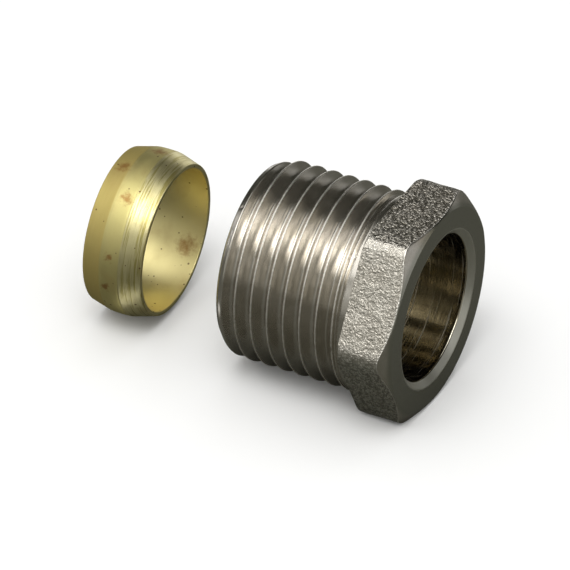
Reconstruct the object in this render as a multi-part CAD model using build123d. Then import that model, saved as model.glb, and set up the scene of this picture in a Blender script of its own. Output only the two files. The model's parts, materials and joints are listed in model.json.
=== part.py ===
from build123d import *
from math import atan, ceil, cos, degrees, radians, sin, sqrt, tan
import os

# Compression nut with its olive, both lying on the table
# The pair closes a 15 mm copper pipe into a half inch threaded port: a short male nut
# with a forged hexagon, and the brass ring that it squeezes onto the pipe.
# Millimetres. +X runs along the nut towards its hexagon, +Z is up, the table is z = 0.
# Each piece is drawn on its own axis, with x = 0 at its end towards +X, then laid down.

# Pipe
pipe_diameter = 15.0
nut_clearance = 0.5          # nut's bore over the pipe, on the diameter
olive_clearance = 0.1        # ring's bore over the pipe, on the diameter

# Half inch pipe thread of Whitworth form, right hand
thread_diameter = 20.8
thread_pitch = 25.4 / 14
thread_angle = 55.0          # between the flanks
thread_start_turn = 0.179    # where the first crest passes under the axis, in turns
lead_angle = 30.0            # chamfer that starts the thread, from the axis
lead_drop = 0.78             # fall of that chamfer, on the radius
runout_angle = 29.0          # cone on which the last groove fades out, from the axis

# Nut
nut_length = 20.4
hex_across_flats = 21.7
hex_height = 5.45
hex_corner_radius = 2.2
hex_chamfer_angle = 30.0     # from the turned face
hex_face_diameter = 21.4     # turned face inside the front chamfer
hex_back_diameter = 23.8     # where the back corners start to be eased
collar_width = 0.82
collar_diameter = 20.6
mouth_chamfer = 0.65         # at 45 degrees, round the bore in the hexagon's face
seat_diameter = 17.4         # mouth of the cone that presses on the ring
seat_angle = 30.0            # from the axis

# Olive, the brass ring
olive_length = 6.5
olive_diameter = 17.4
olive_near_diameter = 16.0   # rim towards the nut
olive_far_diameter = 16.25
olive_near_taper = 2.3       # length of the sloping band at that rim
olive_far_taper = 2.1
olive_crown_radius = 18.0    # the middle band is very slightly crowned
olive_bore_chamfer = 0.08    # at 45 degrees, at both ends of the ring's bore

# How the pair lies
olive_gap = 9.2              # from the thread's end to the ring's near rim
olive_lean = 1.9             # near rim up, on the crown of its middle band
olive_yaw = 0.6

# Sizes that follow from those above
thread_radius = thread_diameter / 2
flank_slope = tan(radians(thread_angle / 2))
sharp_depth = thread_pitch / (2 * flank_slope)
cut_off = sharp_depth / 6
root_radius = thread_radius - (sharp_depth - 2 * cut_off)
crest_half = cut_off * flank_slope
foot_half = thread_pitch / 2 - crest_half
flat_distance = hex_across_flats / 2
face_radius = hex_face_diameter / 2
nut_bore_radius = (pipe_diameter + nut_clearance) / 2
collar_radius = collar_diameter / 2
collar_start = hex_height + collar_width
end_radius = thread_radius - lead_drop
lead_length = lead_drop / tan(radians(lead_angle))
runout_length = (collar_radius - root_radius) / tan(radians(runout_angle))
seat_length = (seat_diameter / 2 - nut_bore_radius) / tan(radians(seat_angle))
nut_tilt = atan((flat_distance - thread_radius) / (nut_length - lead_length - hex_height))
olive_bore_radius = (pipe_diameter + olive_clearance) / 2
olive_middle = olive_near_taper + (olive_length - olive_near_taper - olive_far_taper) / 2

over = 1.0                   # how far a cutting shape runs past what it cuts


def turned(points):
    """Solid turned about X from a closed outline of (length, radius) points."""
    return revolve(make_face(Polyline(*points, close=True)), Axis.X)


def helix_edge(radius, start, turns):
    """Right-hand helix about +X that starts straight under the axis at x = start."""
    upright = Helix(pitch=thread_pitch, height=turns * thread_pitch, radius=radius)
    along_x = Plane(origin=(start, 0, 0), x_dir=(0, 0, -1), z_dir=(1, 0, 0))
    return along_x.from_local_coords(upright)


def thread_ridge():
    """Helical ridge of the whole thread, its foot sunk a little into the shank."""
    sink = 0.08
    sunk_half = foot_half + sink * flank_slope
    first = -nut_length - (1.5 - thread_start_turn) * thread_pitch
    turns = ceil((-collar_start - first) / thread_pitch) + 1
    rails = [
        helix_edge(root_radius - sink, first - sunk_half, turns),
        helix_edge(thread_radius, first - crest_half, turns),
        helix_edge(thread_radius, first + crest_half, turns),
        helix_edge(root_radius - sink, first + sunk_half, turns),
    ]
    sides = []
    for rail, next_rail in zip(rails, rails[1:] + rails[:1]):
        sides.append(Face.make_surface_from_curves(rail, next_rail))
    caps = [Face(Wire.make_polygon([rail @ end for rail in rails])) for end in (0, 1)]
    return Solid(Shell(sides + caps))


def thread_envelope():
    """Space that the ridge may fill: chamfered at the thread's end, cut at the collar."""
    reach = thread_radius + over
    lead_out = -nut_length + (reach - end_radius) / tan(radians(lead_angle))
    return turned([
        (-nut_length, 0),
        (-nut_length, end_radius),
        (lead_out, reach),
        (-collar_start, reach),
        (-collar_start, 0),
    ])


def shank():
    """Thread's core, the cone on which the last groove fades out, and the collar."""
    return turned([
        (-nut_length, 0),
        (-nut_length, root_radius),
        (-collar_start - runout_length, root_radius),
        (-collar_start, collar_radius),
        (-hex_height, collar_radius),
        (-hex_height, 0),
    ])


def hexagon():
    """Forged hexagon with round corners, one flat down, chamfered in the lathe."""
    across_x = Plane(origin=(-hex_height, 0, 0), x_dir=(0, 1, 0), z_dir=(1, 0, 0))
    outline = RegularPolygon(flat_distance, 6, major_radius=False)
    prism = extrude(across_x * outline, hex_height)
    prism = fillet(prism.edges().filter_by(Axis.X), hex_corner_radius)
    reach = flat_distance / cos(radians(30)) + over
    slope = tan(radians(hex_chamfer_angle))
    back_radius = hex_back_diameter / 2
    return prism & turned([
        (-hex_height, 0),
        (-hex_height, back_radius),
        (-hex_height + (reach - back_radius) * slope, reach),
        (-(reach - face_radius) * slope, reach),
        (0, face_radius),
        (0, 0),
    ])


def nut_bore():
    """Straight bore for the pipe, its chamfered mouth and the cone for the ring."""
    seat_mouth = seat_diameter / 2 + over * tan(radians(seat_angle))
    return turned([
        (over, 0),
        (over, nut_bore_radius + mouth_chamfer + over),
        (-mouth_chamfer, nut_bore_radius),
        (-nut_length + seat_length, nut_bore_radius),
        (-nut_length - over, seat_mouth),
        (-nut_length - over, 0),
    ])


def compression_nut():
    threaded = shank() + (thread_ridge() & thread_envelope())
    return threaded + hexagon() - nut_bore()


def olive():
    """Ring with two sloping bands and a crowned middle band, bored for the pipe."""
    near_edge = -olive_near_taper
    far_edge = -olive_length + olive_far_taper
    crown_half = (near_edge - far_edge) / 2
    crown_drop = olive_crown_radius - sqrt(olive_crown_radius**2 - crown_half**2)
    edge_radius = olive_diameter / 2 - crown_drop
    small = olive_bore_chamfer
    near_band = (near_edge, edge_radius)
    crown_top = (-olive_middle, olive_diameter / 2)
    far_band = (far_edge, edge_radius)
    inside = [
        far_band,
        (-olive_length, olive_far_diameter / 2),
        (-olive_length, olive_bore_radius + small),
        (-olive_length + small, olive_bore_radius),
        (-small, olive_bore_radius),
        (0, olive_bore_radius + small),
        (0, olive_near_diameter / 2),
        near_band,
    ]
    crown = ThreePointArc(near_band, crown_top, far_band)
    return revolve(make_face([crown, Polyline(*inside)]), Axis.X)


def lay_nut(nut):
    """The nut rests on its lower flat's back edge and on a crest near the thread's end."""
    height = flat_distance * cos(nut_tilt) + hex_height * sin(nut_tilt)
    return Location((0, 0, height), (0, -degrees(nut_tilt), 0)) * nut


def lay_olive(ring):
    """The ring lies on the crown of its middle band, in line with the nut."""
    lean = radians(olive_lean)
    crown_offset = olive_diameter / 2 - olive_crown_radius
    height = olive_crown_radius + crown_offset * cos(lean) + olive_middle * sin(lean)
    near_rim_x = -nut_length * cos(nut_tilt) - olive_gap
    return Location((near_rim_x, 0, height), (0, -olive_lean, olive_yaw)) * ring


pair = {"compression_nut": lay_nut(compression_nut()), "olive": lay_olive(olive())}
box = Compound(children=[Compound([piece]) for piece in pair.values()]).bounding_box()
to_middle = Pos(-box.center().X, -box.center().Y, 0)

os.makedirs("parts", exist_ok=True)
for name, piece in pair.items():
    export_step(to_middle * piece, f"parts/{name}.step")
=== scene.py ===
import json
from math import cos, pi, radians, sin, sqrt, tan

import bpy
import numpy as np
from mathutils import Matrix, Vector


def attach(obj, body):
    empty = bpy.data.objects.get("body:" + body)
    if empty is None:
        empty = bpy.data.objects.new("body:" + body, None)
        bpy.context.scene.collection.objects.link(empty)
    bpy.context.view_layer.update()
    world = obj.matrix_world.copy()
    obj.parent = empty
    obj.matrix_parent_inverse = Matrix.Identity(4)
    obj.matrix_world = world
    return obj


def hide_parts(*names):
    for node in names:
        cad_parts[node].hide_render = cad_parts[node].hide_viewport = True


# A nickel-plated compression nut and its brass olive, lying in line on a table
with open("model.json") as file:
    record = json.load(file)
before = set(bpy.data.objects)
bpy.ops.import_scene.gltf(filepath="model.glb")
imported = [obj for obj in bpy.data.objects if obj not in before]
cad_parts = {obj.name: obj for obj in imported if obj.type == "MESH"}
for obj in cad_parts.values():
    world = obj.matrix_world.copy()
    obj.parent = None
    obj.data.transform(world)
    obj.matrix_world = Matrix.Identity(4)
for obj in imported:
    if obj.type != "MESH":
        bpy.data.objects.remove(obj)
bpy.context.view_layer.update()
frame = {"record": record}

# Sizes in millimetres, as the solids have them
thread_radius = 10.4
thread_pitch = 25.4 / 14
half_angle = radians(27.5)               # of the thread, between flank and upright
first_crest = -22.797                    # place of a crest straight under the axis
lead_slope = tan(radians(30))
end_radius = 9.62                        # where the lead chamfer meets the thread's end
runout_slope = tan(radians(29))
nut_length = 20.4
hex_height = 5.45
flat_distance = 10.85
hex_corner_radius = 2.2
chamfer_slope = tan(radians(30))
face_radius = 10.7
hex_back_radius = 11.9
collar_radius = 10.3
collar_start = 6.27                      # from the hexagon's face
bore_radius = 7.75
mouth_radius = 8.4
seat_radius = 8.7
seat_length = (seat_radius - bore_radius) / tan(radians(30))

ring_length = 6.5
ring_crown_radius = 8.7
ring_edge_radius = 8.669                 # where the crowned band meets the sloping ones
ring_near_radius = 8.0
ring_far_radius = 8.125
ring_near_taper = 2.3
ring_far_taper = 2.1
ring_bore_radius = 7.55
ring_lip = 0.05                          # chamfer at both ends of the ring's bore
ring_middle_half = (ring_length - ring_near_taper - ring_far_taper) / 2

# The thread as a worn die left it, with narrow crests and rounded grooves
thread_depth = 0.640327 * thread_pitch   # full depth of 55 degree flanks, a sixth cut off twice
thread_root = thread_radius - thread_depth
crest_half = 0.07
foot = crest_half + thread_depth * tan(half_angle)   # from a crest's middle to its flank's foot
soft_foot = 0.85                         # rounding of a groove's foot towards the threaded end
firm_foot = 0.42                         # and of its foot towards the hexagon
crest_edge = 0.07                        # rounding of a crest's two edges
cone_edge = 0.06                         # and where the lead chamfer or the run-out cuts the thread

# Where the threaded surface meets the rest of the nut, along the axis
seam = 0.02                              # on either side of the collar's edge
end_edge = 0.09                          # kept free for the easing of the nut's end
thread_start = -nut_length + end_edge
thread_stop = -collar_start - seam

MM = 0.001
DOWN = 1.5 * pi                          # angle of straight down about each piece's axis
TURNED, FORGED, BORED = 0, 1, 2          # finishes of the nut, in the order of its materials
rng = np.random.default_rng(1407)

# Columns round each piece, which on the nut stand closer together at the hexagon's corners
nut_columns = 300
ring_columns = 400
corner_pull = 0.1
even = np.arange(nut_columns) * 2 * pi / nut_columns
nut_angle = even - corner_pull * np.sin(6 * (even - DOWN - pi / 6))

# The two large nicks beside the collar: along, angle, depth and size
nicks = [(-7.15, radians(186), 0.16, 0.3), (-6.35, radians(128), 0.14, 0.28)]


# Frames of the two pieces

def axis_frame(axis):
    """Rows of unit vectors: along the axis, sideways near +Y, and upwards."""
    along = np.array(axis) / np.linalg.norm(axis)
    side = np.array([0.0, 1.0, 0.0]) - along[1] * along
    side /= np.linalg.norm(side)
    return np.stack([along, side, np.cross(along, side)])


mounts = {mount["name"]: mount for mount in frame["record"]["mounts"]}
nut_axes = axis_frame(mounts["nut_pipe_bore"]["axis"])
nut_middle = np.array(mounts["nut_pipe_bore"]["pos_m"])
face_point = np.array(mounts["hexagon_face"]["pos_m"])
nut_origin = nut_middle + nut_axes[0] * np.dot(face_point - nut_middle, nut_axes[0])
ring_axes = axis_frame([-part for part in mounts["olive_pipe_bore"]["axis"]])
ring_middle = np.array(mounts["olive_pipe_bore"]["pos_m"])
ring_origin = ring_middle + ring_axes[0] * ring_length / 2 * MM


# Surfaces

def eased_outline(outline, columns, closed=False):
    """Rows of places along a chain of corners, each given as its distance along the axis,
    its radius, its easing and the number of rows on the side after it. A corner becomes
    the quadratic curve that touches both of its sides at the easing's distance. The rows
    of a side are evenly spaced, with one more close to each bend to hold it tight.
    Returns distances along the axis, radii, and the side that each row belongs to, where
    a bend counts as half way between its two sides."""
    bend_rows, longest_ease, hold = 3, 0.45, 0.25
    same = np.ones(columns)
    corners = np.stack([
        np.stack([along * same, radius * same], axis=1) for along, radius, _, _ in outline
    ])
    count = len(outline)
    ahead = np.roll(corners, -1, axis=0) - corners
    length = np.linalg.norm(ahead, axis=2, keepdims=True)
    ahead = ahead / np.maximum(length, 1e-9)
    behind = np.roll(ahead, 1, axis=0)
    reach = np.minimum(length, np.roll(length, 1, axis=0)) * longest_ease
    ease = np.minimum(np.array([corner[2] for corner in outline])[:, None, None], reach)
    entry = corners - behind * ease
    leave = corners + ahead * ease
    if not closed:
        entry[0] = leave[0] = corners[0]
        entry[-1] = leave[-1] = corners[-1]
    step = np.linspace(0, 1, bend_rows + 1)[:, None, None]
    rows, sides = [], []
    for k in range(count):
        if closed or 0 < k < count - 1:
            bend = (1 - step) ** 2 * entry[k] + step ** 2 * leave[k]
            rows.append(bend + 2 * step * (1 - step) * corners[k])
            sides += [k - 0.5] * len(step)
        else:
            rows.append(corners[k][None])
            sides.append(min(k, count - 2))
        if closed or k < count - 1:
            start, end = leave[k], entry[(k + 1) % count]
            part = np.linspace(0, 1, outline[k][3] + 2)[1:-1]
            if len(part) > 2:
                part = np.concatenate([[hold * part[0]], part, [1 - hold * part[0]]])
            rows.append(start + (end - start) * part[:, None, None])
            sides += [k] * len(part)
    rows = np.concatenate(rows)
    return rows[..., 0], rows[..., 1], np.array(sides)


def soft_min(a, b, width):
    """The smaller of two heights, with the crossing rounded over the given width."""
    near = np.clip(0.5 + 0.5 * (b - a) / width, 0, 1)
    return b + (a - b) * near - width * near * (1 - near)


def hexagon_radius(angle):
    """Radius of a hexagon with one flat down: the flat's distance over the cosine of the
    angle from its middle, and an arc about a point on the corner's line near a corner."""
    from_flat = np.abs((angle - DOWN + pi / 6) % (pi / 3) - pi / 6)
    flat = flat_distance / np.cos(from_flat)
    centre = (flat_distance - hex_corner_radius) / cos(pi / 6)
    from_corner = pi / 6 - from_flat
    root = np.sqrt(np.maximum(hex_corner_radius ** 2 - (centre * np.sin(from_corner)) ** 2, 0))
    arc = centre * np.cos(from_corner) + root
    touch = (flat_distance - hex_corner_radius) * tan(pi / 6)
    return np.where(flat_distance * np.tan(from_flat) < touch, flat, arc)


def thread_height(along, angle):
    """Radius of the threaded surface, from the distance past the last crest of the helix:
    a straight flank down, which turns very softly into the root, and a straight flank up
    from a firmer foot. The crest's top holds it down, the cone of the lead chamfer cuts
    it, and the cone of the run-out fills it up."""
    crest = first_crest + thread_pitch * (angle - DOWN) / (2 * pi)
    past = (along - crest) % thread_pitch
    sharp_top = thread_radius + crest_half / tan(half_angle)
    falling = sharp_top - past / tan(half_angle)
    rising = sharp_top - (thread_pitch - past) / tan(half_angle)
    valley = -soft_min(-falling, -thread_root, soft_foot)
    valley = -soft_min(-valley, -rising, firm_foot)
    wave = soft_min(valley, thread_radius, crest_edge)
    lead = end_radius + (along + nut_length) * lead_slope
    runout = collar_radius + (along + collar_start) * runout_slope
    return -soft_min(-soft_min(wave, lead, cone_edge), -runout, cone_edge)


def thread_rows():
    """Places of one pitch's rows, from a root to the next: rows close together at the
    crest's two edges and along both feet, and few on the flanks."""
    firm_side = -foot + np.array([-0.20, -0.13, -0.06, 0.0, 0.06, 0.13])
    flank = [-0.33]
    crest = crest_half * np.array([-2.6, -1.5, -1.1, -0.6, 0, 0.6, 1.1, 1.5, 2.6])
    soft_side = foot + np.array([-0.42, -0.34, -0.26, -0.18, -0.1, -0.02, 0.06, 0.14])
    return np.concatenate([[-thread_pitch / 2], firm_side, flank, crest, soft_side])


def plane_waves(points, count, shortest, longest, height):
    """Gentle unevenness at points: a sum of sine waves of random direction, wavelength
    and phase, scaled to the given root mean square height."""
    direction = rng.normal(size=(3, count))
    direction /= np.linalg.norm(direction, axis=0)
    wavelength = rng.uniform(shortest, longest, count)
    phase = rng.uniform(0, 2 * pi, count)
    waves = np.sin(points @ (direction * 2 * pi / wavelength) + phase)
    return height * waves.sum(axis=-1) * sqrt(2 / count)


def crest_dents(count):
    """Small dents at random along the crests, and the two large nicks in the place of the
    first two, as rows of distance along the axis, angle, depth and size. Turns are
    counted along the helix from about a pitch off the nut's end."""
    turn = rng.uniform(0.9, 8.4, count)
    off_crest = rng.uniform(-0.06, 0.06, count)
    along = first_crest + thread_pitch * (turn + 1 - DOWN / (2 * pi) + off_crest)
    depth = rng.uniform(0.01, 0.04, count)
    size = rng.uniform(0.12, 0.26, count)
    marks = np.stack([along, 2 * pi * (turn % 1), depth, size], axis=1)
    marks[:len(nicks)] = nicks
    return marks


def dented(along, angle, radius, marks):
    """Radius less the sum of round dents, each its depth times a bell of the distance from
    its middle over the surface. marks has rows of along, angle, depth and size."""
    middle, turned_to, depth, size = marks.T
    across = (angle[..., None] - turned_to + pi) % (2 * pi) - pi
    distance = (along[..., None] - middle) ** 2 + (radius[..., None] * across) ** 2
    return radius - (depth * np.exp(-distance / size ** 2)).sum(axis=-1)


def in_place(along, radius, angle, origin, axes):
    """Points of the shared frame in metres, from places about a piece's own axis."""
    out = np.cos(angle)[..., None] * axes[1] + np.sin(angle)[..., None] * axes[2]
    return origin + MM * (along[..., None] * axes[0] + radius[..., None] * out)


def woven(index, shift=0):
    """Faces between neighbouring rows and columns of vertex numbers. The last column joins
    the first one, shift rows further on. A face with a side of no length is a triangle,
    and one with two such sides is left out."""
    onward = np.minimum(np.arange(len(index)) + shift, len(index) - 1)
    right = np.concatenate([index[:, 1:], index[onward, :1]], axis=1)
    faces = np.stack([index[:-1], right[:-1], right[1:], index[1:]], axis=-1)
    left_gone = faces[..., 0] == faces[..., 3]
    right_gone = faces[..., 1] == faces[..., 2]
    quads = faces[~left_gone & ~right_gone]
    return (
        quads.tolist()
        + faces[left_gone & ~right_gone][:, [0, 1, 2]].tolist()
        + faces[~left_gone & right_gone][:, [0, 1, 3]].tolist()
    )


def mesh_piece(name, points, faces, face_materials, materials):
    """A smooth piece from points in metres and lists of vertex numbers."""
    used, numbers = np.unique(np.concatenate(faces), return_inverse=True)
    ends = np.cumsum([len(face) for face in faces])
    corners = [part.tolist() for part in np.split(numbers, ends[:-1])]
    mesh = bpy.data.meshes.new(name)
    mesh.from_pydata(points[used].tolist(), [], corners)
    for material in materials:
        mesh.materials.append(material)
    mesh.polygons.foreach_set("material_index", np.array(face_materials, dtype=np.int32))
    mesh.polygons.foreach_set("use_smooth", np.ones(len(faces), dtype=bool))
    mesh.update()
    piece = bpy.data.objects.new(name, mesh)
    bpy.context.scene.collection.objects.link(piece)
    return piece


def nut_thread():
    """The threaded surface: a grid whose rows follow the helix and are held at both ends.
    Returns distances along the axis, radii, vertex numbers in which each held row is
    joined to its last free one, and how many rows make a turn."""
    one_pitch = thread_rows()
    pitches = int((thread_stop - thread_start) / thread_pitch) + 4
    rows = (np.arange(pitches)[:, None] * thread_pitch + one_pitch).ravel()
    free = first_crest + rows[:, None] + thread_pitch * (nut_angle - DOWN) / (2 * pi)
    along = np.clip(free, thread_start, thread_stop)
    low = np.maximum((free <= thread_start).sum(axis=0) - 1, 0)
    high = np.minimum((free < thread_stop).sum(axis=0), len(rows) - 1)
    row = np.clip(np.arange(len(rows))[:, None], low, high)
    index = np.arange(along.size).reshape(along.shape)[row, np.arange(nut_columns)]
    return along, thread_height(along, nut_angle), index, len(one_pitch)


def nut_body():
    """The rest of the nut, as one outline whose radii at the hexagon and at the thread's
    end change round the nut: collar, hexagon, turned face, bore, seat and end face. The
    forged flats are a little uneven. Returns distances along the axis, radii and each
    row's finish."""
    flat_side, bore_side, seat_side = 3, 7, 8
    least_chamfer = 0.06
    flats = hexagon_radius(nut_angle)
    back = np.minimum(flats - least_chamfer, hex_back_radius)
    rim = np.minimum(thread_height(-nut_length, nut_angle), end_radius)
    along, radius, side = eased_outline([
        (-collar_start + seam, collar_radius, 0, 3),
        (-hex_height, collar_radius, 0.05, 2),
        (-hex_height, back, 0.06, 1),
        (-hex_height + (flats - back) * chamfer_slope, flats, 0.16, 30),
        (-(flats - face_radius) * chamfer_slope, flats, 0.06, 5),
        (0, face_radius, 0.07, 5),
        (0, mouth_radius, 0.05, 3),
        (bore_radius - mouth_radius, bore_radius, 0.1, 9),
        (-nut_length + seat_length, bore_radius, 0.1, 3),
        (-nut_length, seat_radius, 0.05, 3),
        (-nut_length, rim, 0.08, 0),
        (thread_start, thread_height(thread_start, nut_angle), 0, 0),
    ], nut_columns)
    along, radius, side = along[:-1], radius[:-1], side[:-1]
    forged = np.clip(1 - np.abs(side - flat_side), 0, 1)[:, None]
    points = in_place(along, radius, nut_angle, nut_origin, nut_axes) / MM
    unevenness = plane_waves(points, count=40, shortest=0.9, longest=3.5, height=0.016)
    finish = np.full(len(side), TURNED)
    finish[(side >= flat_side - 0.5) & (side <= flat_side)] = FORGED
    finish[(side >= bore_side - 0.5) & (side <= seat_side + 0.5)] = BORED
    return along, radius + forged * unevenness, finish


def compression_nut_piece(materials):
    """The nut: the dented threaded surface and the rest, which share their end rows."""
    along, radius, index, rows_a_turn = nut_thread()
    radius = dented(along, nut_angle, radius, crest_dents(90))
    body_along, body_radius, finish = nut_body()
    points = np.concatenate([
        in_place(along, radius, nut_angle, nut_origin, nut_axes).reshape(-1, 3),
        in_place(body_along, body_radius, nut_angle, nut_origin, nut_axes).reshape(-1, 3),
    ])
    body_index = along.size + np.arange(body_along.size).reshape(body_along.shape)
    body_index = np.concatenate([index[-1:], body_index, index[:1]])
    faces = woven(index, rows_a_turn)
    face_materials = [TURNED] * len(faces)
    faces += woven(body_index)
    face_materials += np.repeat(np.append(TURNED, finish), nut_columns).tolist()
    return mesh_piece("compression_nut_dressed", points, faces, face_materials, materials)


def olive_piece(materials):
    """The ring: its outline swept round the axis, with a parabola for the crown of its
    middle band, and slightly out of true, as a pressed and turned ring is."""
    middle_side = 1
    angle = np.arange(ring_columns) * 2 * pi / ring_columns
    along, radius, side = eased_outline([
        (0, ring_near_radius, 0.08, 16),
        (-ring_near_taper, ring_edge_radius, 0.16, 14),
        (ring_far_taper - ring_length, ring_edge_radius, 0.13, 14),
        (-ring_length, ring_far_radius, 0.08, 3),
        (-ring_length, ring_bore_radius + ring_lip, 0.03, 0),
        (ring_lip - ring_length, ring_bore_radius, 0.04, 24),
        (-ring_lip, ring_bore_radius, 0.04, 0),
        (0, ring_bore_radius + ring_lip, 0.03, 3),
    ], ring_columns, closed=True)
    from_middle = (along + ring_near_taper) / ring_middle_half + 1
    crown = (side == middle_side)[:, None] * (1 - from_middle ** 2)
    radius = radius + (ring_crown_radius - ring_edge_radius) * crown
    points = in_place(along, radius, angle, ring_origin, ring_axes) / MM
    radius = radius + plane_waves(points, count=24, shortest=3.0, longest=9.0, height=0.007)
    points = in_place(along, radius, angle, ring_origin, ring_axes).reshape(-1, 3)
    index = np.arange(along.size).reshape(along.shape)
    index = np.concatenate([index, index[:1]])
    faces = [face[::-1] for face in woven(index)]
    return mesh_piece("olive_dressed", points, faces, [0] * len(faces), materials)


# Node helpers

def add(tree, kind, inputs=None, **settings):
    """A node with its settings, whose inputs are given values or linked to sockets."""
    made = tree.nodes.new(kind)
    for name, value in settings.items():
        setattr(made, name, value)
    for name, value in (inputs or {}).items():
        if isinstance(value, bpy.types.NodeSocket):
            tree.links.new(value, made.inputs[name])
        else:
            made.inputs[name].default_value = value
    return made


def maths(tree, operation, *values, clamp=False):
    """Result of an operation on numbers, held between 0 and 1 if clamp says so."""
    settings = {"operation": operation, "use_clamp": clamp}
    return add(tree, "ShaderNodeMath", dict(enumerate(values)), **settings).outputs[0]


def vector_maths(tree, operation, *values):
    """Result of an operation on vectors: a length or distance, or else a vector."""
    made = add(tree, "ShaderNodeVectorMath", dict(enumerate(values)), operation=operation)
    return made.outputs["Value" if operation in ("LENGTH", "DISTANCE") else "Vector"]


def ramp(tree, value, low, high, to_low=0.0, to_high=1.0):
    """value carried from the first range to the second, smoothly and held at its ends."""
    made = add(tree, "ShaderNodeMapRange", {
        "Value": value, "From Min": low, "From Max": high, "To Min": to_low, "To Max": to_high,
    }, interpolation_type="SMOOTHSTEP")
    return made.outputs["Result"]


def mix(tree, factor, first, second):
    """The first colour where the factor is 0, the second one where it is 1."""
    made = add(tree, "ShaderNodeMix", data_type="RGBA")
    for name, value in (("Factor", factor), ("A", first), ("B", second)):
        socket = next(each for each in made.inputs if each.name == name and each.enabled)
        if isinstance(value, bpy.types.NodeSocket):
            tree.links.new(value, socket)
        else:
            socket.default_value = value
    return next(each for each in made.outputs if each.enabled)


def noise(tree, vector, scale, detail=2.0, roughness=0.5, distortion=0.0):
    """Cloudy noise around a half."""
    return add(tree, "ShaderNodeTexNoise", {
        "Vector": vector, "Scale": scale, "Detail": detail,
        "Roughness": roughness, "Distortion": distortion,
    }).outputs["Fac"]


def parts_of(tree, vector):
    """The X, Y and Z of a vector."""
    return add(tree, "ShaderNodeSeparateXYZ", {"Vector": vector}).outputs


def off_axis(tree, place):
    """A place's offset from its piece's axis, which is the X of the place."""
    part = parts_of(tree, place)
    return add(tree, "ShaderNodeCombineXYZ", {"Y": part["Y"], "Z": part["Z"]}).outputs[0]


def axis_place(tree, place):
    """Distance of a place along its piece's axis, and its distance from the axis."""
    return parts_of(tree, place)["X"], vector_maths(tree, "LENGTH", off_axis(tree, place))


def new_group(name, inputs, outputs):
    """An empty node group with the named sockets, given as (name, kind, value)."""
    tree = bpy.data.node_groups.new(name, "ShaderNodeTree")
    for label, kind, value in inputs:
        socket = tree.interface.new_socket(label, in_out="INPUT", socket_type=kind)
        if value is not None:
            socket.default_value = value
    for label, kind in outputs:
        tree.interface.new_socket(label, in_out="OUTPUT", socket_type=kind)
    given = tree.nodes.new("NodeGroupInput").outputs
    return tree, given, tree.nodes.new("NodeGroupOutput").inputs


def use(tree, group, inputs):
    """A group placed in a material with its own values."""
    return add(tree, "ShaderNodeGroup", inputs, node_tree=group).outputs


# Finishes that several materials or stains share

FLOAT, VECTOR = "NodeSocketFloat", "NodeSocketVector"


def lathe_marks_group():
    """Rings that a turning tool leaves, in a vector of millimetres whose X is the axis:
    noise that changes fast along the axis and out from it, and slowly round it. Streaks
    are the same at about a third of the scale, and change faster round it."""
    tree, given, out = new_group(
        "lathe_marks",
        [("Vector", VECTOR, None), ("Rings per mm", FLOAT, 6.0), ("Waver", FLOAT, 1.0)],
        [("Rings", FLOAT), ("Streaks", FLOAT)],
    )
    along, radius = axis_place(tree, given["Vector"])
    across = maths(tree, "MULTIPLY", maths(tree, "ADD", along, radius), given["Rings per mm"])
    around = parts_of(tree, vector_maths(tree, "NORMALIZE", off_axis(tree, given["Vector"])))
    vector = add(tree, "ShaderNodeCombineXYZ", {
        "X": across,
        "Y": maths(tree, "MULTIPLY", around["Y"], given["Waver"]),
        "Z": maths(tree, "MULTIPLY", around["Z"], given["Waver"]),
    }).outputs[0]
    tree.links.new(noise(tree, vector, 1.0, 3.0, 0.6), out["Rings"])
    coarse = vector_maths(tree, "MULTIPLY", vector, (0.3, 2.2, 2.2))
    tree.links.new(noise(tree, coarse, 1.0, 2.0, 0.5), out["Streaks"])
    return tree


def patina_group():
    """Uneven tarnish: a soft cloudy mask, and a mask of small scattered specks of various
    sizes, in about four cells of a cell pattern out of ten."""
    tree, given, out = new_group(
        "patina",
        [
            ("Vector", VECTOR, None), ("Cloud per mm", FLOAT, 0.3),
            ("Specks per mm", FLOAT, 1.2), ("Speck Size", FLOAT, 0.1),
        ],
        [("Cloud", FLOAT), ("Specks", FLOAT)],
    )
    cloud = noise(tree, given["Vector"], given["Cloud per mm"], 4.0, 0.55, 0.3)
    tree.links.new(cloud, out["Cloud"])
    cells = add(tree, "ShaderNodeTexVoronoi", {
        "Vector": given["Vector"], "Scale": given["Specks per mm"],
    }).outputs
    lot = add(tree, "ShaderNodeSeparateColor", {"Color": cells["Color"]}).outputs
    reach = maths(tree, "MULTIPLY", given["Speck Size"], lot["Green"])
    speck = ramp(tree, cells["Distance"], reach, maths(tree, "MULTIPLY", reach, 0.4))
    few = maths(tree, "GREATER_THAN", lot["Red"], 0.6)
    tree.links.new(maths(tree, "MULTIPLY", speck, few), out["Specks"])
    return tree


def stain_group():
    """A stain: a mask that fades out from its middle to its reach, ragged with noise."""
    tree, given, out = new_group(
        "stain",
        [("Vector", VECTOR, None), ("Middle", VECTOR, None), ("Reach", FLOAT, 1.0)],
        [("Mask", FLOAT)],
    )
    away = vector_maths(tree, "DISTANCE", given["Vector"], given["Middle"])
    rag = ramp(tree, noise(tree, given["Vector"], 1.6, 4.0, 0.65), 0.3, 0.7, -0.35, 0.35)
    ragged = maths(tree, "DIVIDE", maths(tree, "ADD", away, rag), given["Reach"])
    tree.links.new(ramp(tree, ragged, 1.0, 0.0), out["Mask"])
    return tree


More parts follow.
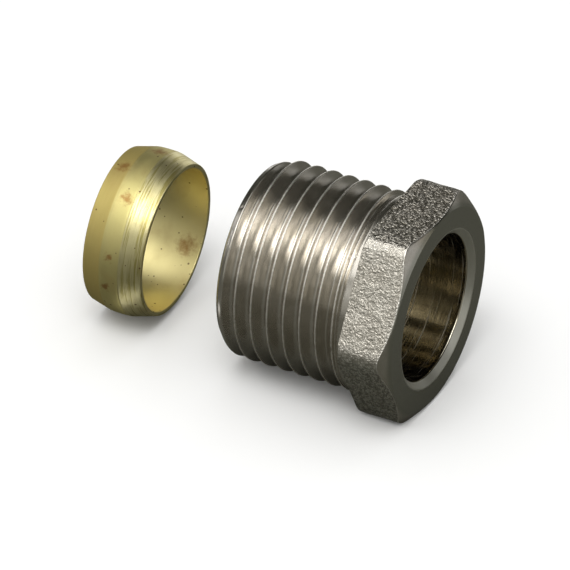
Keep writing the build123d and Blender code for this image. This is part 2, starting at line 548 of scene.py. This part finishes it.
# Colours of the nut
nickel = (0.665, 0.63, 0.57, 1)
nickel_clouded = (0.555, 0.52, 0.455, 1)
nickel_speck = (0.25, 0.21, 0.16, 1)
# Crests rubbed pale, the pale also a painted highlight line along them
rubbed_crest_and_highlight = (0.90, 0.87, 0.81, 1)
# Painted shade: the turned face coloured far darker than the nickel
face_painted_dark = (0.42, 0.415, 0.36, 1)
bright_mouth = (0.66, 0.65, 0.58, 1)
forged_skin = (0.73, 0.69, 0.615, 1)
# Painted light: the forged skin lightened below the axis
forged_skin_painted_light_below = (0.86, 0.84, 0.76, 1)
forged_pit = (0.20, 0.185, 0.15, 1)
forged_tarnish = (0.4, 0.36, 0.3, 1)
# Edges worn pale, the pale also a painted highlight along them
worn_edge_and_highlight = (0.86, 0.83, 0.77, 1)
# Bore colours: brownish thin nickel, painted darker as shade inside the bore
bore_light = (0.62, 0.58, 0.485, 1)
bore_dark = (0.47, 0.435, 0.345, 1)
bore_tarnish = (0.40, 0.34, 0.24, 1)
bore_scratch = (0.88, 0.85, 0.76, 1)

# Colours of the ring
brass = (0.66, 0.585, 0.25, 1)
far_brass = (0.615, 0.505, 0.185, 1)
drawn_line = (0.52, 0.45, 0.16, 1)
drawn_brass = (0.77, 0.70, 0.38, 1)
bore_brass = (0.81, 0.71, 0.345, 1)
brass_tarnish = (0.56, 0.42, 0.17, 1)
brass_stain = (0.38, 0.20, 0.06, 1)
brass_speck = (0.16, 0.08, 0.03, 1)

# Brown stains on the ring: middle on its own axis, reach
ring_stains = [
    ((-3.2, -5.1, 7.1), 0.9),
    ((-3.4, -8.5, 1.8), 0.7),
    ((-3.6, -8.5, -1.7), 0.7),
    ((-3.2, 2.4, 8.3), 1.3),
    ((-5.2, -1.6, 8.3), 1.1),
    ((-1.6, 5.9, -4.7), 1.5),
]


# Materials

def new_material(name, axes, origin):
    """A metal with its shader, and coordinates in millimetres on the piece's own axis."""
    material = bpy.data.materials.new(name)
    material.use_nodes = True
    tree = material.node_tree
    shader = tree.nodes["Principled BSDF"]
    shader.inputs["Metallic"].default_value = 1.0
    turn = Matrix([list(row) for row in axes.T]).to_euler()
    place = add(tree, "ShaderNodeMapping", {
        "Vector": add(tree, "ShaderNodeTexCoord").outputs["Object"],
        "Location": tuple(origin), "Rotation": tuple(turn), "Scale": (MM, MM, MM),
    }, vector_type="TEXTURE").outputs["Vector"]
    return material, tree, shader, place


def bump(tree, shader, layers):
    """Bump nodes in a chain, from (height, distance in mm) pairs, into the shader."""
    normal = None
    for height, distance in layers:
        inputs = {"Height": height, "Distance": distance * MM, "Strength": 1.0}
        if normal is not None:
            inputs["Normal"] = normal
        normal = add(tree, "ShaderNodeBump", inputs).outputs["Normal"]
    tree.links.new(normal, shader.inputs["Normal"])


def turned_nickel(lathe, patina):
    """Bright nickel over a turned surface: fine rings, soft cloudy tarnish, crests rubbed
    pale and beaded, their pale also a painted highlight line, a face painted darker as
    shade, and a pale, duller mouth."""
    material, tree, shader, place = new_material("turned_nickel", nut_axes, nut_origin)
    along, radius = axis_place(tree, place)
    marks = use(tree, lathe, {"Vector": place, "Rings per mm": 5.0, "Waver": 3.0})
    tarnish = use(tree, patina, {
        "Vector": place, "Cloud per mm": 0.35, "Specks per mm": 1.6, "Speck Size": 0.16,
    })
    colour = mix(tree, ramp(tree, tarnish["Cloud"], 0.35, 0.7), nickel, nickel_clouded)
    speck = maths(tree, "MULTIPLY", tarnish["Specks"], 0.5)
    colour = mix(tree, speck, colour, nickel_speck)
    high = ramp(tree, radius, thread_radius - 0.09, thread_radius)
    before_collar = ramp(tree, along, -collar_start - 0.03, -collar_start - 0.33)
    crest = maths(tree, "MULTIPLY", high, before_collar)
    grit = noise(tree, place, 4.5, 2.0, 0.7)
    beads = maths(tree, "MULTIPLY", grit, crest)
    # Crests rubbed pale and beaded, the pale also a painted highlight line
    crest_wear_and_highlight = maths(tree, "MULTIPLY", crest, ramp(tree, grit, 0.35, 0.6, 0.45, 1.0))
    fine = noise(tree, place, 3.5, 3.0, 0.6)
    bump(tree, shader, [(marks["Rings"], 0.0012), (fine, 0.0015), (beads, 0.05)])
    colour = mix(tree, crest_wear_and_highlight, colour, rubbed_crest_and_highlight)
    # Painted shade: the face darker than the rest of the nickel
    colour = mix(tree, ramp(tree, along, -0.4, -0.1), colour, face_painted_dark)
    inward = ramp(tree, radius, mouth_radius + 0.2, mouth_radius)
    mouth = maths(tree, "MULTIPLY", ramp(tree, along, -0.7, -0.6), inward)
    colour = mix(tree, mouth, colour, bright_mouth)
    tree.links.new(colour, shader.inputs["Base Color"])
    crest_dull = maths(tree, "MULTIPLY", crest_wear_and_highlight, 0.22)
    dull = maths(tree, "ADD", crest_dull, maths(tree, "MULTIPLY", mouth, 0.15))
    polish = ramp(tree, marks["Streaks"], 0.3, 0.75, 0.20, 0.25)
    tree.links.new(maths(tree, "ADD", polish, dull), shader.inputs["Roughness"])
    return material


def forged_nickel(patina):
    """Nickel over the forged skin: rounded grains with dark pits between them, deepest on
    the upper flat, the skin painted paler below the axis as painted light on the lower
    flats, and edges worn pale, the pale also a painted highlight along them."""
    material, tree, shader, place = new_material("forged_nickel", nut_axes, nut_origin)
    along, radius = axis_place(tree, place)
    height = parts_of(tree, place)["Z"]
    drift = add(tree, "ShaderNodeTexNoise", {"Vector": place, "Scale": 1.2}).outputs["Color"]
    grain = add(tree, "ShaderNodeTexVoronoi", {
        "Vector": vector_maths(tree, "ADD", place, drift), "Scale": 3.2, "Smoothness": 0.4,
    }, feature="SMOOTH_F1").outputs["Distance"]
    crumbs = noise(tree, place, 7.5, 4.0, 0.65)
    tarnish = use(tree, patina, {"Vector": place, "Cloud per mm": 0.4})
    upper = ramp(tree, height, 10.5, 10.75, 0.4, 1.25)
    lower = ramp(tree, height, 0.5, -0.5)
    coarse = maths(tree, "ADD", upper, maths(tree, "MULTIPLY", lower, 0.4))
    crumbled = ramp(tree, crumbs, 0.52, 0.38)
    hollows = maths(tree, "MAXIMUM", crumbled, ramp(tree, grain, 0.42, 0.6))
    pits = maths(tree, "MULTIPLY", hollows, coarse, clamp=True)
    # Painted light: the skin paler below the axis
    colour = mix(tree, pits, mix(tree, lower, forged_skin, forged_skin_painted_light_below), forged_pit)
    cloud = maths(tree, "MULTIPLY", ramp(tree, tarnish["Cloud"], 0.4, 0.7), 0.35)
    colour = mix(tree, cloud, colour, forged_tarnish)
    bump(tree, shader, [(maths(tree, "MULTIPLY", grain, coarse), -0.15), (crumbs, 0.07)])
    # Worn pale ridges and edges, the pale also a painted highlight
    ridge = maths(tree, "MULTIPLY", ramp(tree, radius, 11.78, 12.05), 0.15)
    chamfer = maths(tree, "MULTIPLY", maths(tree, "SUBTRACT", radius, face_radius), chamfer_slope)
    edge = ramp(tree, maths(tree, "ADD", along, chamfer), -0.22, -0.06)
    colour = mix(tree, maths(tree, "MAXIMUM", ridge, edge), colour, worn_edge_and_highlight)
    tree.links.new(colour, shader.inputs["Base Color"])
    rough = ramp(tree, crumbs, 0.35, 0.65, 0.38, 0.2)
    edge_dull = maths(tree, "MULTIPLY", edge, 0.1)
    tree.links.new(maths(tree, "ADD", rough, edge_dull), shader.inputs["Roughness"])
    return material


def bored_nickel(lathe, patina):
    """Thin nickel in the bore: brownish and painted darker as shade inside the bore, with
    the reamer's streaks and pale scratches.
    """
    material, tree, shader, place = new_material("bored_nickel", nut_axes, nut_origin)
    marks = use(tree, lathe, {"Vector": place, "Rings per mm": 4.0, "Waver": 0.7})
    tarnish = use(tree, patina, {
        "Vector": place, "Cloud per mm": 0.25, "Specks per mm": 1.2, "Speck Size": 0.14,
    })
    colour = mix(tree, ramp(tree, marks["Streaks"], 0.3, 0.7), bore_light, bore_dark)
    cloud = maths(tree, "MULTIPLY", ramp(tree, tarnish["Cloud"], 0.45, 0.7), 0.4)
    colour = mix(tree, cloud, colour, bore_tarnish)
    scratches = maths(tree, "MULTIPLY", ramp(tree, marks["Rings"], 0.56, 0.68), 0.7)
    colour = mix(tree, scratches, colour, bore_scratch)
    tree.links.new(colour, shader.inputs["Base Color"])
    polish = ramp(tree, marks["Rings"], 0.3, 0.75, 0.07, 0.14)
    scratch_dull = maths(tree, "MULTIPLY", scratches, 0.3)
    tree.links.new(maths(tree, "ADD", polish, scratch_dull), shader.inputs["Roughness"])
    bump(tree, shader, [(marks["Rings"], 0.010), (marks["Streaks"], 0.005)])
    return material


def ring_brass(lathe, patina, stain):
    """Brass of the ring: drawn lines on the near band, a smoother middle band, a darker
    far band, a bright bore, and brown stains and specks from handling."""
    material, tree, shader, place = new_material("ring_brass", ring_axes, ring_origin)
    along, radius = axis_place(tree, place)
    marks = use(tree, lathe, {"Vector": place, "Rings per mm": 7.0, "Waver": 1.6})
    tarnish = use(tree, patina, {
        "Vector": place, "Cloud per mm": 0.32, "Specks per mm": 1.5, "Speck Size": 0.25,
    })
    blend = 0.1                          # half of the blend between two bands
    near_edge, far_edge = -ring_near_taper, ring_far_taper - ring_length
    near_band = ramp(tree, along, near_edge - blend, near_edge + blend)
    far_band = ramp(tree, along, far_edge + blend, far_edge - blend)
    inside = ramp(tree, radius, ring_bore_radius + 0.2, ring_bore_radius + 0.07)
    drawn = mix(tree, ramp(tree, marks["Rings"], 0.38, 0.52), drawn_line, drawn_brass)
    colour = mix(tree, near_band, mix(tree, far_band, brass, far_brass), drawn)
    colour = mix(tree, inside, colour, bore_brass)
    cloud = maths(tree, "MULTIPLY", ramp(tree, tarnish["Cloud"], 0.5, 0.75), 0.35)
    colour = mix(tree, cloud, colour, brass_tarnish)
    stained = 0.0
    for middle, reach in ring_stains:
        mask = use(tree, stain, {"Vector": place, "Middle": middle, "Reach": reach})["Mask"]
        stained = maths(tree, "MAXIMUM", stained, mask)
    colour = mix(tree, maths(tree, "MULTIPLY", stained, 0.85), colour, brass_stain)
    speck = maths(tree, "MULTIPLY", tarnish["Specks"], 0.9)
    tree.links.new(mix(tree, speck, colour, brass_speck), shader.inputs["Base Color"])
    outside_near = maths(tree, "SUBTRACT", near_band, inside, clamp=True)
    outside_far = maths(tree, "SUBTRACT", far_band, inside, clamp=True)
    past_near = maths(tree, "SUBTRACT", 1.0, near_band)
    outside_past = maths(tree, "SUBTRACT", past_near, inside, clamp=True)
    far_dull = maths(tree, "MULTIPLY", outside_far, 0.1)
    dull = maths(tree, "ADD", far_dull, maths(tree, "MULTIPLY", outside_past, 0.12))
    polish = ramp(tree, marks["Streaks"], 0.3, 0.7, 0.36, 0.42)
    tree.links.new(maths(tree, "ADD", polish, dull), shader.inputs["Roughness"])
    brushed = maths(tree, "MULTIPLY", marks["Rings"], outside_near)
    ripple = noise(tree, place, 0.8, 2.0)
    bump(tree, shader, [(brushed, 0.06), (marks["Streaks"], 0.003), (ripple, 0.012)])
    return material


lathe = lathe_marks_group()
patina = patina_group()
nut = compression_nut_piece([
    turned_nickel(lathe, patina), forged_nickel(patina), bored_nickel(lathe, patina),
])
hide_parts("compression_nut")
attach(nut, "root")
ring = olive_piece([ring_brass(lathe, patina, stain_group())])
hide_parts("olive")
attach(ring, "root")


# Camera, at the photograph's angle and scale

pixels_per_mm = 9.94
image_size = 570
view_angle = radians(69)                 # between the nut's axis and the line of sight
view_roll = radians(16.83)               # fall of the nut's axis in the picture
view_turn = radians(53)                  # angle about the axis that shows upright in it
face_pixel = (438.5, 309.3)              # middle of the hexagon's face
camera_distance = 1500.0
sensor_width = 36.0

up_side = cos(view_turn) * nut_axes[1] + sin(view_turn) * nut_axes[2]
near_side = -sin(view_turn) * nut_axes[1] + cos(view_turn) * nut_axes[2]
leaning = sin(view_angle) * nut_axes[0] - cos(view_angle) * near_side
right = cos(view_roll) * leaning + sin(view_roll) * up_side
up = -sin(view_roll) * leaning + cos(view_roll) * up_side
back = np.cross(right, up)
off_right = (image_size / 2 - face_pixel[0]) / pixels_per_mm
off_up = (face_pixel[1] - image_size / 2) / pixels_per_mm
aim = nut_origin + MM * (off_right * right + off_up * up)
eye = aim + MM * camera_distance * back

camera_data = bpy.data.cameras.new("camera")
camera_data.sensor_width = sensor_width
camera_data.lens = sensor_width * pixels_per_mm * camera_distance / image_size
camera_data.clip_start = 0.05
camera_data.clip_end = 20.0
camera = bpy.data.objects.new("camera", camera_data)
view_axes = Matrix(np.stack([right, up, back], axis=1).tolist()).to_4x4()
camera.matrix_world = Matrix.Translation(eye) @ view_axes
bpy.context.scene.collection.objects.link(camera)
bpy.context.scene.camera = camera


# Floor, room and lamps. Metal sees a darker bench and room, which give it its dark bands

pale_floor = (0.86, 0.86, 0.85, 1)
dark_bench = (0.092, 0.092, 0.077, 1)
pale_room = (0.85, 0.85, 0.85, 1)
dark_wall = (0.03, 0.03, 0.023, 1)       # on the back side, +Y
dim_wall = (0.26, 0.26, 0.235, 1)        # on the front side


def floor_material():
    """Pale, matt floor, which metal sees as a dark bench."""
    material = bpy.data.materials.new("pale_floor")
    material.use_nodes = True
    tree = material.node_tree
    shader = tree.nodes["Principled BSDF"]
    shader.inputs["Roughness"].default_value = 0.9
    shader.inputs["Specular IOR Level"].default_value = 0.1
    seen_in_metal = add(tree, "ShaderNodeLightPath").outputs["Is Glossy Ray"]
    colour = mix(tree, seen_in_metal, pale_floor, dark_bench)
    tree.links.new(colour, shader.inputs["Base Color"])
    return material


bpy.ops.mesh.primitive_plane_add(size=6.0, location=(0, 0, 0))
floor = bpy.context.object
floor.name = "floor"
floor.data.materials.append(floor_material())

world = bpy.context.scene.world or bpy.data.worlds.new("world")
bpy.context.scene.world = world
world.use_nodes = True
sky = world.node_tree
seen_in_metal = add(sky, "ShaderNodeLightPath").outputs["Is Glossy Ray"]
toward = parts_of(sky, add(sky, "ShaderNodeTexCoord").outputs["Generated"])
dark_room = mix(sky, ramp(sky, toward["Y"], 0.1, -0.3), dark_wall, dim_wall)
room = mix(sky, seen_in_metal, pale_room, dark_room)
sky.links.new(room, sky.nodes["Background"].inputs["Color"])

scene_middle = Vector((0, 0, 0.011))


def softbox(
    name, azimuth, elevation, width, height, brightness,
    colour=(1, 1, 1), distance=0.6, on_floor=False,
):
    """An area lamp that faces the pair from an azimuth and elevation in degrees. Its
    brightness is what a mirror would show, so its power is that times pi and its area.
    Only metal shows it, unless it is to shine on the floor as well."""
    data = bpy.data.lights.new(name, "AREA")
    data.shape = "RECTANGLE"
    data.size = width
    data.size_y = height
    data.energy = brightness * pi * width * height
    data.color = colour
    lamp = bpy.data.objects.new(name, data)
    turn, rise = radians(azimuth), radians(elevation)
    away = Vector((cos(rise) * cos(turn), cos(rise) * sin(turn), sin(rise)))
    lamp.location = scene_middle + distance * away
    lamp.rotation_euler = away.to_track_quat("Z", "Y").to_euler()
    lamp.visible_diffuse = on_floor
    lamp.visible_camera = False
    bpy.context.scene.collection.objects.link(lamp)


softbox("lamp_top", -88, 63, 0.28, 0.22, 5.5, on_floor=True)
softbox("lamp_top_halo", -88, 63, 0.56, 0.44, 1.4, on_floor=True)
softbox("lamp_top_near", -60, 45, 0.30, 0.14, 1.0, colour=(1, 0.95, 0.85))
softbox("lamp_left_above", -150, 28, 0.14, 0.14, 0.5)
softbox("lamp_zenith", 20, 84, 0.30, 0.24, 1.4)
softbox("lamp_top_left", 178, 64, 0.24, 0.20, 1.2)
softbox("lamp_left", -163, 45, 0.20, 0.15, 3.1)
softbox("lamp_left_halo", -163, 48, 0.30, 0.24, 0.4)
softbox("lamp_left_soft", 176, 42, 0.16, 0.18, 0.8)
softbox("lamp_left_fade", 155, 42, 0.16, 0.24, 0.50, colour=(1, 0.98, 0.92))
softbox("lamp_on_table", -141, -33.3, 0.005, 0.004, 0.8, distance=0.0191)
softbox("lamp_left_low", -167, 19, 0.12, 0.20, 1.8)
softbox("lamp_left_low_back", 173, 19, 0.12, 0.24, 0.8)
softbox("lamp_left_floor", 178, -4, 0.05, 0.03, 0.35, distance=0.12)
softbox("lamp_front", -105, 25, 0.34, 0.14, 0.44)
softbox("lamp_front_mid", -100, 10, 0.34, 0.14, 0.20)
softbox("lamp_front_left", -138, 24, 0.16, 0.20, 0.40)
softbox("lamp_front_left_low", -140, 4, 0.24, 0.12, 0.78)
softbox("lamp_right_front", -25, 12, 0.30, 0.30, 0.25)
softbox("lamp_right_card", 18.5, 5, 0.034, 0.044, 0.5, distance=0.15)
softbox("lamp_right_warm", 30.5, 5, 0.026, 0.044, 0.4, colour=(1, 0.93, 0.8), distance=0.15)
softbox("lamp_right_edge", 6, 5, 0.032, 0.044, 0.4, distance=0.15)
softbox("lamp_right_high", 6, 28, 0.20, 0.16, 0.8)
softbox("lamp_right_back", 40, 28, 0.20, 0.16, 0.4)
softbox("lamp_back_right_low", 64, 2, 0.05, 0.04, 0.25, distance=0.15)
softbox("lamp_back_low", 102, 4, 0.36, 0.20, 0.23, colour=(1, 0.98, 0.91))
softbox("lamp_behind_ring", 113, 6, 0.024, 0.024, 0.8, distance=0.049)

bpy.context.scene.view_settings.view_transform = "Standard"
